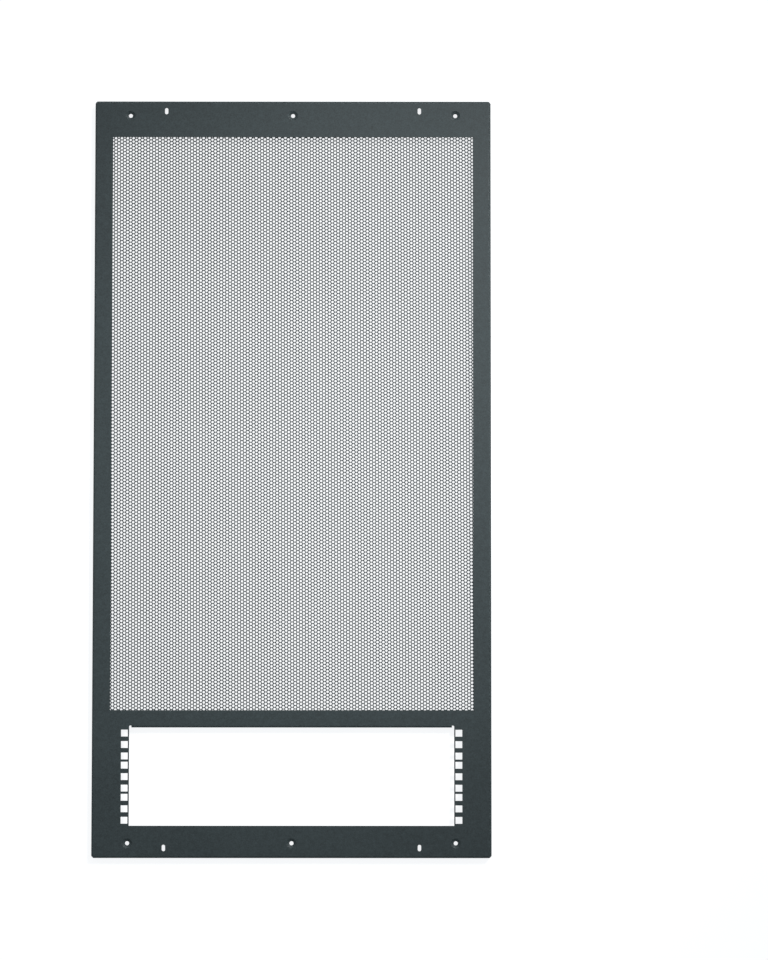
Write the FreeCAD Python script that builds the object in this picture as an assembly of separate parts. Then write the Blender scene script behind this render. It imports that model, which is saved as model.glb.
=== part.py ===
"""Perforated rack top panel: a folded sheet-steel frame with a perforated sheet under its window.

The panel lies face up on the lower edges of its flanges. X runs across the rack, Y along its depth,
from the rack opening towards the window, and Z up. The origin is the middle of the panel on the plane
of the flanges' lower edges. All sizes are in millimetres.
"""
import FreeCAD
import Part
import math
import os

# Rack opening: square holes for cage nuts down both sides, on the spacing of a 19-inch rack
RACK_UNIT_PITCH = 44.45
RACK_UNITS = 3
RACK_HOLE = 9.5
RACK_HOLE_STEP = 15.875
RACK_HOLE_SPACING = 465.1
RACK_WEB = 1.7
OPENING_CLEARANCE = 1.3

# Frame: one folded sheet, with bars around the rack opening and the window
FRAME_SHEET = 1.5
FRAME_HEIGHT = 16.0
BEND_INSIDE = 1.3
CORNER_SLIT = 0.1
SIDE_RAIL = 40.7
SIDE_BAR = 25.2
NEAR_BAR = 44.7
MIDDLE_BAR = 24.1
FAR_BAR = 50.8
WINDOW_LENGTH = 803.4

# Stiffening flange along the middle bar, with a bend relief at each end
STIFFENER_LIFT = 4.0
RELIEF_WIDTH = 3.2

# Screw holes in formed dimples, three along each end of the panel
SCREW_HOLE = 5.8
SCREW_COUNT = 3
SCREW_SIDE_INSET = 49.8
SCREW_END_INSET = 20.5
DIMPLE_WIDTH = 4.0
DIMPLE_DEPTH = 1.9

# Slots, two along each end of the panel
SLOT_WIDTH = 4.8
SLOT_TRAVEL = 4.2
SLOT_COUNT = 2
SLOT_SIDE_INSET = 100.3
SLOT_END_INSET = 14.1

# Perforated sheet: six-sided holes on a staggered pattern, as open in all as the fine perforation
INSERT_SHEET = 0.9
INSERT_OVERLAP = 9.0
HOLE_PITCH = 42.5
OPEN_SHARE = 0.57

# Sizes that follow from the ones above
opening_width = RACK_HOLE_SPACING - RACK_HOLE - 2 * RACK_WEB
opening_length = RACK_UNITS * RACK_UNIT_PITCH + 2 * OPENING_CLEARANCE
panel_width = RACK_HOLE_SPACING + RACK_HOLE + 2 * SIDE_RAIL
panel_length = NEAR_BAR + opening_length + MIDDLE_BAR + WINDOW_LENGTH + FAR_BAR
window_width = panel_width - 2 * SIDE_BAR
bend_outside = BEND_INSIDE + FRAME_SHEET
corner_cut = 2 * (FRAME_SHEET + CORNER_SLIT)
underside = FRAME_HEIGHT - FRAME_SHEET
stiffener_length = opening_width - 2 * RELIEF_WIDTH
screw_radius = SCREW_HOLE / 2
dimple_radius = screw_radius + DIMPLE_WIDTH

# Lines across the panel, from its near edge to its far one
opening_near = NEAR_BAR - panel_length / 2
opening_far = opening_near + opening_length
window_near = opening_far + MIDDLE_BAR
window_far = window_near + WINDOW_LENGTH

DIAGONAL = math.sqrt(0.5)
UP = FreeCAD.Vector(0, 0, 1)


def point(x, y, z=0):
    """Point in the frame of the panel."""
    return FreeCAD.Vector(x, y, z)


def wire(start, *steps):
    """Closed wire: each step is a straight edge to a point, or an arc through one point to another."""
    edges = []
    here = start
    for *through, end in steps:
        curve = Part.Arc(here, through[0], end) if through else Part.LineSegment(here, end)
        edges.append(curve.toShape())
        here = end
    return Part.Wire(edges)


def polygon(corners):
    """Closed wire with straight sides."""
    return Part.makePolygon(corners + corners[:1])


def rectangle(x_low, y_low, x_high, y_high):
    """Rectangular wire between two corners."""
    return polygon([point(x_low, y_low), point(x_high, y_low), point(x_high, y_high), point(x_low, y_high)])


def hexagon(x, y, corner_radius):
    """Six-sided wire about a point, with two corners on the X direction."""
    turns = [math.pi / 3 * i for i in range(6)]
    return polygon([point(x + corner_radius * math.cos(a), y + corner_radius * math.sin(a)) for a in turns])


def disc(x, y, radius):
    """Round wire about a point."""
    return Part.Wire(Part.makeCircle(radius, point(x, y)))


def slot(x, y):
    """Round-ended slot about a point, long along Y."""
    radius = SLOT_WIDTH / 2
    reach = SLOT_TRAVEL / 2
    return wire(
        point(x - radius, y - reach),
        [point(x - radius, y + reach)],
        [point(x, y + reach + radius), point(x + radius, y + reach)],
        [point(x + radius, y - reach)],
        [point(x, y - reach - radius), point(x - radius, y - reach)],
    )


def rack_opening():
    """Outline of the rack opening, cut back to the stiffener's bend line, with a round relief at each end."""
    side = opening_width / 2
    bend_line = opening_far + bend_outside
    radius = RELIEF_WIDTH / 2
    centre_x = side - radius
    centre_y = bend_line - radius
    bow_x = centre_x + radius * DIAGONAL
    bow_y = centre_y + radius * DIAGONAL
    return wire(
        point(-side, opening_near),
        [point(side, opening_near)],
        [point(side, centre_y)],
        [point(bow_x, bow_y), point(centre_x, bend_line)],
        [point(-centre_x, bend_line)],
        [point(-bow_x, bow_y), point(-side, centre_y)],
        [point(-side, opening_near)],
    )


def rack_holes():
    """Square holes down both sides of the rack opening, three to each rack unit."""
    middle = (opening_near + opening_far) / 2
    half = RACK_HOLE / 2
    holes = []
    for unit in range(RACK_UNITS):
        unit_y = middle + (unit - (RACK_UNITS - 1) / 2) * RACK_UNIT_PITCH
        for y in (unit_y - RACK_HOLE_STEP, unit_y, unit_y + RACK_HOLE_STEP):
            for x in (-RACK_HOLE_SPACING / 2, RACK_HOLE_SPACING / 2):
                holes.append(rectangle(x - half, y - half, x + half, y + half))
    return holes


def end_rows(count, side_inset, end_inset):
    """Places along both ends of the panel, spread evenly between two insets from its sides."""
    across = panel_width / 2 - side_inset
    along = panel_length / 2 - end_inset
    return [(across * (2 * i / (count - 1) - 1), y) for y in (-along, along) for i in range(count)]


def sheet(border, holes, bottom, thickness):
    """Flat sheet of a given border, pierced by holes."""
    face = Part.makeFace([border] + holes, "Part::FaceMakerBullseye")
    face.translate(UP * bottom)
    return face.extrude(UP * thickness)


def on_face(shape, x, y, turn=0):
    """Shape turned about Z, with its own origin then moved to a place on the frame's upper face."""
    shape.rotate(point(0, 0), UP, turn)
    shape.translate(point(x, y, FRAME_HEIGHT))
    return shape


def fold(length, drop):
    """Bend and flange: the sheet comes from +Y to a bend line on the X axis, and is folded down there."""
    end_x = -length / 2
    axis_z = -bend_outside

    def mid_bend(radius):
        return point(end_x, -radius * DIAGONAL, axis_z + radius * DIAGONAL)

    profile = wire(
        point(end_x, 0, 0),
        [mid_bend(bend_outside), point(end_x, -bend_outside, axis_z)],
        [point(end_x, -bend_outside, -drop)],
        [point(end_x, -BEND_INSIDE, -drop)],
        [point(end_x, -BEND_INSIDE, axis_z)],
        [mid_bend(BEND_INSIDE), point(end_x, 0, -FRAME_SHEET)],
        [point(end_x, 0, 0)],
    )
    return Part.Face(profile).extrude(point(length, 0))


def outer_fold(length):
    """Bend and flange along an outer edge, mitred to the next ones, with the corner between them cut off."""
    bottom = -FRAME_HEIGHT
    right_end = [
        point(length / 2 - corner_cut, -bend_outside, bottom),
        point(length / 2 - corner_cut / 2, corner_cut / 2 - bend_outside, bottom),
        point(length / 2 - bend_outside, 0, bottom),
    ]
    left_end = [point(-p.x, p.y, p.z) for p in reversed(right_end)]
    plan = Part.Face(polygon(right_end + left_end)).extrude(UP * FRAME_HEIGHT)
    return fold(length, FRAME_HEIGHT).common(plan)


def dimple():
    """Formed dimple about a screw hole: a cone of sheet pressed down from the face."""
    profile = wire(
        point(dimple_radius, 0, 0),
        [point(screw_radius, 0, -DIMPLE_DEPTH)],
        [point(screw_radius, 0, -DIMPLE_DEPTH - FRAME_SHEET)],
        [point(dimple_radius, 0, -FRAME_SHEET)],
        [point(dimple_radius, 0, 0)],
    )
    return Part.Face(profile).revolve(point(0, 0), UP, 360)


def top_frame():
    """Folded frame: its pierced face, four outer flanges, the stiffening flange and the dimples."""
    x_bend = panel_width / 2 - bend_outside
    y_bend = panel_length / 2 - bend_outside
    screws = end_rows(SCREW_COUNT, SCREW_SIDE_INSET, SCREW_END_INSET)
    slots = end_rows(SLOT_COUNT, SLOT_SIDE_INSET, SLOT_END_INSET)
    window = rectangle(-window_width / 2, window_near, window_width / 2, window_far)
    holes = [window, rack_opening()] + rack_holes()
    holes += [disc(x, y, dimple_radius) for x, y in screws]
    holes += [slot(x, y) for x, y in slots]
    face = sheet(rectangle(-x_bend, -y_bend, x_bend, y_bend), holes, underside, FRAME_SHEET)

    stiffener_drop = FRAME_HEIGHT - STIFFENER_LIFT
    formed = [
        on_face(outer_fold(panel_width), 0, -y_bend),
        on_face(outer_fold(panel_length), x_bend, 0, 90),
        on_face(outer_fold(panel_width), 0, y_bend, 180),
        on_face(outer_fold(panel_length), -x_bend, 0, 270),
        on_face(fold(stiffener_length, stiffener_drop), 0, opening_far + bend_outside),
    ]
    formed += [on_face(dimple(), x, y) for x, y in screws]
    return face.fuse(formed).removeSplitter()


def perforations():
    """Six-sided holes in columns along Y, every other column half a pitch on, all whole inside the window."""
    flats = HOLE_PITCH * math.sqrt(OPEN_SHARE)
    corner_radius = flats / 2 / math.cos(math.pi / 6)
    column_pitch = HOLE_PITCH * math.cos(math.pi / 6)
    columns = int((window_width - 2 * corner_radius) / column_pitch) + 1
    rows = int((WINDOW_LENGTH - flats - HOLE_PITCH / 2) / HOLE_PITCH) + 1
    middle = (window_near + window_far) / 2
    holes = []
    for column in range(columns):
        x = (column - (columns - 1) / 2) * column_pitch
        stagger = HOLE_PITCH / 4 * (-1) ** column
        for row in range(rows):
            y = middle + stagger + (row - (rows - 1) / 2) * HOLE_PITCH
            holes.append(hexagon(x, y, corner_radius))
    return holes


def perforated_insert():
    """Perforated sheet, face to face with the underside of the frame all round the window."""
    side = window_width / 2 + INSERT_OVERLAP
    border = rectangle(-side, window_near - INSERT_OVERLAP, side, window_far + INSERT_OVERLAP)
    return sheet(border, perforations(), underside - INSERT_SHEET, INSERT_SHEET)


os.makedirs("parts", exist_ok=True)
for node, shape in {"top_frame": top_frame(), "perforated_insert": perforated_insert()}.items():
    shape.exportStep(f"parts/{node}.step")
    box = shape.BoundBox
    print(node, "solids", len(shape.Solids), "valid", shape.isValid(), "volume", round(shape.Volume, 1),
          "size", round(box.XLength, 3), round(box.YLength, 3), round(box.ZLength, 3))
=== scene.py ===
"""Looks of the perforated rack top panel: its powder coat, its fine perforation, and the studio around it.

All sizes are in metres, in the frame of the CAD model. The panel lies face up on the floor at Z = 0, with its
rack opening towards -Y and its perforated window towards +Y.
"""
import bpy
import math
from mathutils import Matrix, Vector


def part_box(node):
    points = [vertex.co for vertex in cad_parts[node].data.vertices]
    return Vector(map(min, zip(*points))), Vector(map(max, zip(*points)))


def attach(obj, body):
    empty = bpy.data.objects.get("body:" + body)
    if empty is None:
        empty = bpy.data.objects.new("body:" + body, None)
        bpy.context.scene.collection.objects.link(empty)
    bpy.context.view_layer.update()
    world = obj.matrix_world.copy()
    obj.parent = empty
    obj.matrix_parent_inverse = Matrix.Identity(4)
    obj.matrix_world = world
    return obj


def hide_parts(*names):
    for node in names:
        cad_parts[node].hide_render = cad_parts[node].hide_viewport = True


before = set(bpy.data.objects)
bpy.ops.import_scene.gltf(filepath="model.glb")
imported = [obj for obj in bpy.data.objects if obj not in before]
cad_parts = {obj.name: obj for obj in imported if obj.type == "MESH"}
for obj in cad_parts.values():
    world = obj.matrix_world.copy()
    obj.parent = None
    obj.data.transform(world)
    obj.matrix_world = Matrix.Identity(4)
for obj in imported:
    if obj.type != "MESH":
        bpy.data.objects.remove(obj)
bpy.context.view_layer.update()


# Folded frame: one sheet of steel, cut to its outline, pierced, and folded down on all four edges and along
# the rack opening. After the insert is welded in, both are powder coated in a dark slate grey with a fine,
# satin texture: an even film that flows into a faint orange peel and carries a grain about a millimetre wide.

SLATE_GREY = (0.0429, 0.0608, 0.0657, 1.0)
SATIN_ROUGHNESS = 0.55
SPECULAR_LEVEL = 0.4
MOTTLE_WIDTH = 0.12
MOTTLE_SHADE = 0.25
MOTTLE_GLOSS = 0.2
GRAIN_WIDTH = 0.0017
GRAIN_SHADE = 1.05
GRAIN_GLOSS = 0.15
PEEL_WIDTH = 0.008
PEEL_TO_GRAIN_SHADE = 0.34
PEEL_TO_GRAIN_HEIGHT = 1.5
RELIEF_DEPTH = 0.00012
RELIEF_STRENGTH = 0.35


def add_node(tree, kind, inputs=None, **settings):
    """Adds a node, sets its options, and sets its inputs to values or links them to other nodes' sockets."""
    node = tree.nodes.new(kind)
    for name, value in settings.items():
        setattr(node, name, value)
    for key, value in (inputs or {}).items():
        if isinstance(value, bpy.types.NodeSocket):
            tree.links.new(value, node.inputs[key])
        else:
            node.inputs[key].default_value = value
    return node


def calculate(tree, operation, *values):
    """Adds a Math node and gives its result."""
    return add_node(tree, "ShaderNodeMath", dict(enumerate(values)), operation=operation).outputs[0]


def new_group(name, kind, inputs, outputs):
    """Starts a node group with named sockets, and gives its tree and its input and output sockets."""
    tree = bpy.data.node_groups.new(name, kind)
    for in_out, sockets in (("INPUT", inputs), ("OUTPUT", outputs)):
        for socket_name, socket_type in sockets.items():
            tree.interface.new_socket(socket_name, in_out=in_out, socket_type="NodeSocket" + socket_type)
    return tree, tree.nodes.new("NodeGroupInput").outputs, tree.nodes.new("NodeGroupOutput").inputs


def powder_film():
    """Shader group for the film's uneven colour, gloss and height: mottle, orange peel and fine grain."""
    tree, given, result = new_group(
        "powder film", "ShaderNodeTree",
        {"Color": "Color", "Roughness": "Float", "Mottle": "Float", "Grain": "Float"},
        {"Color": "Color", "Roughness": "Float", "Height": "Float"})
    place = add_node(tree, "ShaderNodeTexCoord").outputs["Object"]

    def noise(width, detail):
        texture = add_node(tree, "ShaderNodeTexNoise", {
            "Vector": place, "Scale": 1 / width, "Detail": detail})
        return calculate(tree, "SUBTRACT", texture.outputs[0], 0.5)

    mottle = noise(MOTTLE_WIDTH, detail=4)
    peel = noise(PEEL_WIDTH, detail=1)
    grain = noise(GRAIN_WIDTH, detail=2)
    peel_shade = calculate(tree, "MULTIPLY", given["Grain"], PEEL_TO_GRAIN_SHADE)
    shade = calculate(tree, "MULTIPLY_ADD", mottle, given["Mottle"], 1)
    shade = calculate(tree, "MULTIPLY_ADD", peel, peel_shade, shade)
    shade = calculate(tree, "MULTIPLY_ADD", grain, given["Grain"], shade)
    tint = add_node(tree, "ShaderNodeVectorMath", {0: given["Color"], "Scale": shade}, operation="SCALE")
    roughness = calculate(tree, "MULTIPLY_ADD", mottle, MOTTLE_GLOSS, given["Roughness"])
    roughness = calculate(tree, "MULTIPLY_ADD", grain, GRAIN_GLOSS, roughness)
    height = calculate(tree, "MULTIPLY_ADD", peel, PEEL_TO_GRAIN_HEIGHT, grain)
    for output, socket in ((tint.outputs[0], "Color"), (roughness, "Roughness"), (height, "Height")):
        tree.links.new(output, result[socket])
    return tree


def powder_coat(name, colour, film):
    """Powder-coat material of one colour."""
    material = bpy.data.materials.new(name)
    material.use_nodes = True
    tree = material.node_tree
    shader = tree.nodes["Principled BSDF"]
    shader.inputs["Specular IOR Level"].default_value = SPECULAR_LEVEL
    values = {"Color": colour, "Roughness": SATIN_ROUGHNESS, "Mottle": MOTTLE_SHADE, "Grain": GRAIN_SHADE}
    coat = add_node(tree, "ShaderNodeGroup", values, node_tree=film).outputs
    bump = add_node(tree, "ShaderNodeBump", {
        "Strength": RELIEF_STRENGTH, "Distance": RELIEF_DEPTH, "Height": coat["Height"]})
    for output, socket in ((coat["Color"], "Base Color"), (coat["Roughness"], "Roughness"),
                           (bump.outputs[0], "Normal")):
        tree.links.new(output, shader.inputs[socket])
    return material


slate_coat = powder_coat("slate powder coat", SLATE_GREY, powder_film())
top_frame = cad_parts["top_frame"]
top_frame.data.materials.clear()
top_frame.data.materials.append(slate_coat)


# Perforated insert: one flat steel sheet, punched with round holes in columns along the panel, every other
# column half a pitch on, and spot welded by its plain margin to the underside of the frame around the window.
# Its rows run a quarter of a degree askew. It is made in bands of whole columns, which meet edge to edge.

HOLE_PITCH = 0.00474
HOLE_DIAMETER = 0.003572
HOLE_SIDES = 8
ROWS = 171
BANDS = 5
COLUMNS_IN_BAND = 25
SKEW = math.radians(0.229)
PATTERN_SHIFT = (-0.00086, -0.00061, 0)
WELD_SHARE_OF_PITCH = 0.005


def perforated_band():
    """Geometry tree for one band of the sheet: pierced cells, the margin beyond them, and the thickness."""
    tree, given, result = new_group(
        "perforated band", "GeometryNodeTree",
        {"Pitch": "Float", "Hole Diameter": "Float", "Rows": "Int", "Columns": "Int", "First Column": "Int",
         "All Columns": "Int", "Skew": "Float", "Shift": "Vector", "Sheet Size": "Vector",
         "Sheet Middle": "Vector", "Material": "Material"},
        {"Geometry": "Geometry"})

    def step(kind, inputs=None, **settings):
        return add_node(tree, "GeometryNode" + kind, inputs, **settings).outputs

    def joined(first, second):
        join = add_node(tree, "GeometryNodeJoinGeometry", {0: first})
        tree.links.new(second, join.inputs[0])
        return join.outputs[0]

    def parts(vector):
        return add_node(tree, "ShaderNodeSeparateXYZ", {0: vector}).outputs

    def vector(x, y, z=0.0):
        return add_node(tree, "ShaderNodeCombineXYZ", {0: x, 1: y, 2: z}).outputs[0]

    def plus(a, b):
        return calculate(tree, "ADD", a, b)

    def minus(a, b):
        return calculate(tree, "SUBTRACT", a, b)

    def times(a, b):
        return calculate(tree, "MULTIPLY", a, b)

    def half(a):
        return times(a, 0.5)

    def times_plus(a, b, c):
        return calculate(tree, "MULTIPLY_ADD", a, b, c)

    def sign(a):
        return calculate(tree, "SIGN", a)

    pitch = given["Pitch"]
    quarter_pitch = times(pitch, 0.25)
    column_pitch = times(pitch, math.sqrt(3) / 2)
    field_x = half(times(column_pitch, given["All Columns"]))
    rows_y = half(times(pitch, given["Rows"]))
    field_y = plus(quarter_pitch, rows_y)
    weld = times(pitch, WELD_SHARE_OF_PITCH)
    index = step("InputIndex")[0]
    position = step("InputPosition")[0]
    across, along, _ = parts(position)

    # Cell: a rectangle with a point half way up each side, where the next columns' cells meet, and a hole
    # that is a ring of a few straight sides, of the round hole's own area
    corners = step("CurvePrimitiveCircle", {"Resolution": 6, "Radius": 1.0})[0]
    corner_x = times(sign(across), half(column_pitch))
    corner_y = times(times(along, pitch), math.sqrt(1 / 3))
    border = step("SetPosition", {"Geometry": corners, "Position": vector(corner_x, corner_y)})[0]
    side_angle = 2 * math.pi / HOLE_SIDES
    corner_reach = math.sqrt(side_angle / math.sin(side_angle))
    ring_radius = times(given["Hole Diameter"], 0.5 * corner_reach)
    ring = step("CurvePrimitiveCircle", {"Resolution": HOLE_SIDES, "Radius": ring_radius})[0]
    ring = step("Transform", {"Geometry": ring, "Rotation": (0, 0, side_angle / 2)})[0]
    cell = step("FillCurve", {"Curve": joined(border, ring)})[0]

    # Places of the cells, and of the blank half cells that square off one end of each column
    def column_place(column):
        number = plus(column, given["First Column"])
        from_middle = times_plus(given["All Columns"], -0.5, plus(number, 0.5))
        side = times_plus(calculate(tree, "FLOORED_MODULO", number, 2), 2, -1)
        return times(from_middle, column_pitch), side

    column = calculate(tree, "FLOOR", calculate(tree, "DIVIDE", plus(index, 0.5), given["Rows"]))
    row = minus(index, times(column, given["Rows"]))
    cell_x, side = column_place(column)
    stagger = times(side, quarter_pitch)
    row_y = times_plus(plus(row, 0.5), pitch, times(rows_y, -1))
    cell_points = step("Points", {
        "Count": times(given["Rows"], given["Columns"]), "Position": vector(cell_x, plus(row_y, stagger))})[0]
    cells = step("InstanceOnPoints", {"Points": cell_points, "Instance": cell})[0]

    blank_x, side = column_place(index)
    blank_y = times(times(side, -1), rows_y)
    blank_points = step("Points", {"Count": given["Columns"], "Position": vector(blank_x, blank_y)})[0]
    blank = step("MeshGrid", {
        "Size X": column_pitch, "Size Y": half(pitch), "Vertices X": 2, "Vertices Y": 2})[0]
    blanks = step("InstanceOnPoints", {"Points": blank_points, "Instance": blank})[0]
    field = step("RealizeInstances", {"Geometry": joined(cells, blanks)})[0]
    field = step("MergeByDistance", {"Geometry": field, "Distance": weld})[0]

    # Margin: the field's outermost edges drawn out to the sheet's own border, which stays square to the frame
    def beyond(coordinate, limit):
        reach = minus(limit, times(weld, 2))
        return calculate(tree, "GREATER_THAN", calculate(tree, "ABSOLUTE", coordinate), reach)

    def out_to(coordinate, limit, border_at):
        shift = times(minus(border_at, limit), sign(coordinate))
        return times_plus(shift, beyond(coordinate, limit), coordinate)

    sheet_x, sheet_y, thickness = parts(given["Sheet Size"])
    at_border = calculate(tree, "MAXIMUM", beyond(across, field_x), beyond(along, field_y))
    margin = step("ExtrudeMesh", {"Mesh": field, "Selection": at_border, "Offset Scale": 0.0}, mode="EDGES")
    border_place = vector(out_to(across, field_x, half(sheet_x)), out_to(along, field_y, half(sheet_y)))
    flat = step("SetPosition", {
        "Geometry": margin["Mesh"], "Selection": margin["Top"], "Position": border_place})[0]
    inside = add_node(tree, "FunctionNodeBooleanMath", {0: margin["Top"]}, operation="NOT")
    skewed = add_node(tree, "ShaderNodeVectorRotate", {"Vector": position, "Angle": given["Skew"]},
                      rotation_type="Z_AXIS")
    flat = step("SetPosition", {
        "Geometry": flat, "Selection": inside.outputs[0], "Position": skewed.outputs[0],
        "Offset": given["Shift"]})[0]
    flat = step("Transform", {"Geometry": flat, "Translation": given["Sheet Middle"]})[0]

    # Thickness: the flat pattern drawn up to the sheet's upper face, and closed below by its own mirror side
    upper = step("ExtrudeMesh", {"Mesh": flat, "Offset": vector(0.0, 0.0, thickness), "Individual": False})
    lower = step("FlipFaces", {"Mesh": flat})
    shell = step("MergeByDistance", {"Geometry": joined(upper["Mesh"], lower[0]), "Distance": weld})[0]
    shell = step("RealizeInstances", {"Geometry": shell})[0]
    coated = step("SetMaterial", {"Geometry": shell, "Material": given["Material"]})[0]
    tree.links.new(coated, result["Geometry"])
    return tree


def evaluated_piece(name, tree, values):
    """Runs a geometry tree with its named inputs, and gives the result as a plain mesh object."""
    maker = bpy.data.objects.new(name, bpy.data.meshes.new(name))
    bpy.context.scene.collection.objects.link(maker)
    modifier = maker.modifiers.new(name, "NODES")
    modifier.node_group = tree
    for socket in tree.interface.items_tree:
        if socket.in_out == "INPUT":
            modifier[socket.identifier] = values[socket.name]
    graph = bpy.context.evaluated_depsgraph_get()
    mesh = bpy.data.meshes.new_from_object(maker.evaluated_get(graph))
    maker.modifiers.clear()
    maker.data = mesh
    return maker


insert_low, insert_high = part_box("perforated_insert")
insert_size = Vector(insert_high) - Vector(insert_low)
insert_middle = (Vector(insert_low) + Vector(insert_high)) / 2
insert_middle.z = insert_low[2]
band_tree = perforated_band()
for band in range(BANDS):
    sheet_band = evaluated_piece(f"perforated_sheet_{band + 1}", band_tree, {
        "Pitch": HOLE_PITCH, "Hole Diameter": HOLE_DIAMETER, "Rows": ROWS, "Columns": COLUMNS_IN_BAND,
        "First Column": band * COLUMNS_IN_BAND, "All Columns": BANDS * COLUMNS_IN_BAND,
        "Skew": SKEW, "Shift": PATTERN_SHIFT, "Sheet Size": insert_size, "Sheet Middle": insert_middle,
        "Material": slate_coat})
    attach(sheet_band, "root")
    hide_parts("perforated_insert")


# Floor: a wide matt white sweep that the panel lies on. What the camera or a reflection sees of it is white,
# and the panel still shades it.

FLOOR_WIDTH = 40.0
FLOOR_GREY = (0.35, 0.35, 0.35, 1.0)
FLOOR_GLOW = 0.9
SHADOW_TINT = (0.97, 0.985, 1.0, 1.0)

floor_side = FLOOR_WIDTH / 2
floor_corners = [(x * floor_side, y * floor_side, 0) for x, y in ((-1, -1), (1, -1), (1, 1), (-1, 1))]
floor_mesh = bpy.data.meshes.new("floor")
floor_mesh.from_pydata(floor_corners, [], [(0, 1, 2, 3)])
floor = bpy.data.objects.new("floor", floor_mesh)
bpy.context.scene.collection.objects.link(floor)
white_sweep = bpy.data.materials.new("white sweep")
white_sweep.use_nodes = True
tree = white_sweep.node_tree
tree.nodes.clear()
ray = add_node(tree, "ShaderNodeLightPath").outputs
reflected = calculate(tree, "MAXIMUM", ray["Is Glossy Ray"], ray["Is Transmission Ray"])
seen = calculate(tree, "MAXIMUM", ray["Is Camera Ray"], reflected)
strength = calculate(tree, "MULTIPLY", seen, FLOOR_GLOW)
glow = add_node(tree, "ShaderNodeEmission", {"Color": SHADOW_TINT, "Strength": strength})
matt = add_node(tree, "ShaderNodeBsdfDiffuse", {"Color": FLOOR_GREY})
both = add_node(tree, "ShaderNodeAddShader", {0: glow.outputs[0], 1: matt.outputs[0]})
add_node(tree, "ShaderNodeOutputMaterial", {"Surface": both.outputs[0]})
floor_mesh.materials.append(white_sweep)


# Light: a pale room all round, lighter towards the panel's far end and darker towards its near end, and one
# square soft lamp with a grid that narrows its beam, which stands off beyond the panel's far right corner.

ROOM_COLOUR = (0.96, 0.98, 1.0, 1.0)
ROOM_LEVEL = 0.25
ROOM_SLOPE = 0.95
FAR_DIRECTION = (0, 1, 0)
LAMP_WIDTH = 0.8
LAMP_SPREAD = math.radians(33.5)
LAMP_POWER = 3.6
LAMP_PLACE = (1.2, 1.4, 2.4)
LAMP_AIM = (0.04, 0.06, 0)

world = bpy.data.worlds.new("pale room")
world.use_nodes = True
room = world.node_tree
background = room.nodes["Background"].inputs
background["Color"].default_value = ROOM_COLOUR
direction = add_node(room, "ShaderNodeTexCoord").outputs["Generated"]
directions = {0: direction, 1: FAR_DIRECTION}
towards_far = add_node(room, "ShaderNodeVectorMath", directions, operation="DOT_PRODUCT").outputs["Value"]
level = calculate(room, "MULTIPLY_ADD", towards_far, ROOM_LEVEL * ROOM_SLOPE, ROOM_LEVEL)
room.links.new(level, background["Strength"])
bpy.context.scene.world = world

lamp_data = bpy.data.lights.new("soft lamp", "AREA")
lamp_data.shape = "RECTANGLE"
lamp_data.size = LAMP_WIDTH
lamp_data.size_y = LAMP_WIDTH
lamp_data.spread = LAMP_SPREAD
lamp_data.energy = LAMP_POWER
lamp = bpy.data.objects.new("soft lamp", lamp_data)
lamp.location = LAMP_PLACE
lamp.rotation_euler = (Vector(LAMP_AIM) - lamp.location).to_track_quat("-Z", "Y").to_euler()
bpy.context.scene.collection.objects.link(lamp)


# Camera: a long lens nearly four metres above the panel, a little towards its near end and off to its right,
# so that the panel stands left of the picture's middle. The lens and the sensor are in millimetres.

LENS_LENGTH = 100
SENSOR_HEIGHT = 36
CAMERA_PLACE = (0.1225, -0.1864, 3.7373)
CAMERA_TURN = [math.radians(turn) for turn in (2.807, -0.09, 0.031)]

camera_data = bpy.data.cameras.new("camera")
camera_data.sensor_fit = "VERTICAL"
camera_data.sensor_height = SENSOR_HEIGHT
camera_data.lens = LENS_LENGTH
camera = bpy.data.objects.new("camera", camera_data)
camera.location = CAMERA_PLACE
camera.rotation_euler = CAMERA_TURN
bpy.context.scene.collection.objects.link(camera)
bpy.context.scene.camera = camera
bpy.context.scene.view_settings.view_transform = "Standard"
